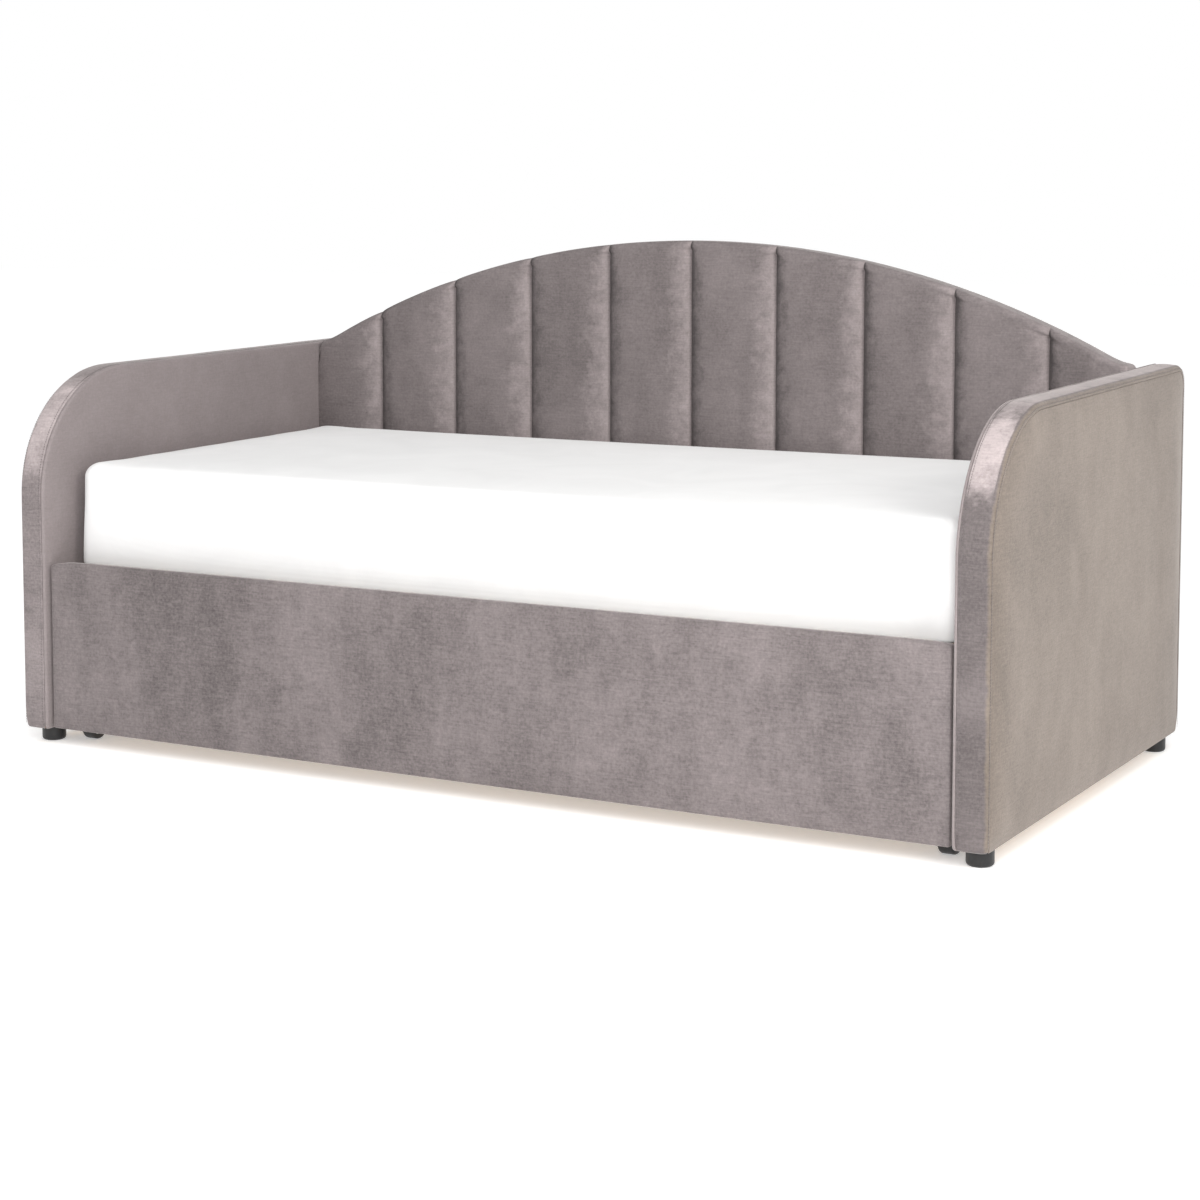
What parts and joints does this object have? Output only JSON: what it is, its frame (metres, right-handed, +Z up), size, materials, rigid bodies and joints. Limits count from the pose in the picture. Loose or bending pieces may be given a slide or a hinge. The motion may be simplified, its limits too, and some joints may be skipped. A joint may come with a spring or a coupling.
{
  "type": "trundle daybed",
  "caption": "Velvet daybed with round-fronted padded arms, arched channelled back, mattress in a fitted sheet, and a pull-out trundle on wheels behind a padded front.",
  "frame": {"origin": "on the floor under the middle of the bed's length and depth", "axes": "+X along the bed, to the right seen from the open front; +Y to the back; +Z up"},
  "size_m": [2.15, 1.155, 1.0568],
  "materials": {
    "velvet": "short-pile taupe velvet over foam",
    "timber": "planed softwood",
    "board": "plywood",
    "black_steel": "black powder coat",
    "slat_wood": "birch veneer slats",
    "mattress_ticking": "woven mattress ticking",
    "white_cotton": "plain white cotton",
    "black_plastic": "moulded matte black",
    "wheel_plastic": "moulded dark grey",
    "zinc_steel": "bright zinc plate"
  },
  "bodies": {
    "bed": {"left_arm_front_post": "timber", "left_arm_rear_post": "timber", "left_arm_top_rail": "timber", "left_arm_bottom_rail": "timber", "right_arm_front_post": "timber", "right_arm_rear_post": "timber", "right_arm_top_rail": "timber", "right_arm_bottom_rail": "timber", "left_arm_outer_cover": "velvet", "left_arm_inner_cover": "velvet", "left_arm_edge_band": "velvet", "right_arm_outer_cover": "velvet", "right_arm_inner_cover": "velvet", "right_arm_edge_band": "velvet", "back_left_stile": "timber", "back_right_stile": "timber", "back_lower_rail": "timber", "back_front_board": "board", "back_rear_cover": "velvet", "back_top_band": "velvet", "back_channel_01": "velvet", "back_channel_02": "velvet", "back_channel_03": "velvet", "back_channel_04": "velvet", "back_channel_05": "velvet", "back_channel_06": "velvet", "back_channel_07": "velvet", "back_channel_08": "velvet", "back_channel_09": "velvet", "back_channel_10": "velvet", "front_rail": "black_steel", "rear_rail": "black_steel", "left_end_rail": "black_steel", "right_end_rail": "black_steel", "rail_brackets": "black_steel", "bed_slats": "slat_wood", "mattress": "mattress_ticking", "fitted_sheet": "white_cotton", "frame_bolts": "zinc_steel", "front_left_foot": "black_plastic", "front_right_foot": "black_plastic", "rear_left_foot": "black_plastic", "rear_right_foot": "black_plastic"},
    "trundle": {"trundle_front_cover": "velvet", "trundle_front_board": "board", "trundle_front_rail": "timber", "trundle_rear_rail": "timber", "trundle_left_rail": "timber", "trundle_right_rail": "timber", "trundle_slats": "slat_wood", "trundle_screws": "zinc_steel", "caster_axles": "zinc_steel", "front_left_caster_fork": "zinc_steel", "front_right_caster_fork": "zinc_steel", "rear_left_caster_fork": "zinc_steel", "rear_right_caster_fork": "zinc_steel"},
    "front_left_wheel": {"front_left_wheel": "wheel_plastic"},
    "front_right_wheel": {"front_right_wheel": "wheel_plastic"},
    "rear_left_wheel": {"rear_left_wheel": "wheel_plastic"},
    "rear_right_wheel": {"rear_right_wheel": "wheel_plastic"}
  },
  "joints": [
    {"name": "trundle_slide", "type": "slide", "parent": "bed", "child": "trundle", "axis": [0, -1, 0], "range_m": [0, 0.9]},
    {"name": "front_left_wheel_roll", "type": "hinge", "parent": "trundle", "child": "front_left_wheel", "pos_m": [-0.97, -0.4755, 0.024], "axis": [1, 0, 0], "continuous": true},
    {"name": "front_right_wheel_roll", "type": "hinge", "parent": "trundle", "child": "front_right_wheel", "pos_m": [0.97, -0.4755, 0.024], "axis": [1, 0, 0], "continuous": true},
    {"name": "rear_left_wheel_roll", "type": "hinge", "parent": "trundle", "child": "rear_left_wheel", "pos_m": [-0.97, 0.2525, 0.024], "axis": [1, 0, 0], "continuous": true},
    {"name": "rear_right_wheel_roll", "type": "hinge", "parent": "trundle", "child": "rear_right_wheel", "pos_m": [0.97, 0.2525, 0.024], "axis": [1, 0, 0], "continuous": true}
  ],
  "couplings": [
    {"joint": "front_left_wheel_roll", "follows": "trundle_slide", "rad_per_m": 41.667},
    {"joint": "front_right_wheel_roll", "follows": "trundle_slide", "rad_per_m": 41.667},
    {"joint": "rear_left_wheel_roll", "follows": "trundle_slide", "rad_per_m": 41.667},
    {"joint": "rear_right_wheel_roll", "follows": "trundle_slide", "rad_per_m": 41.667}
  ]
}
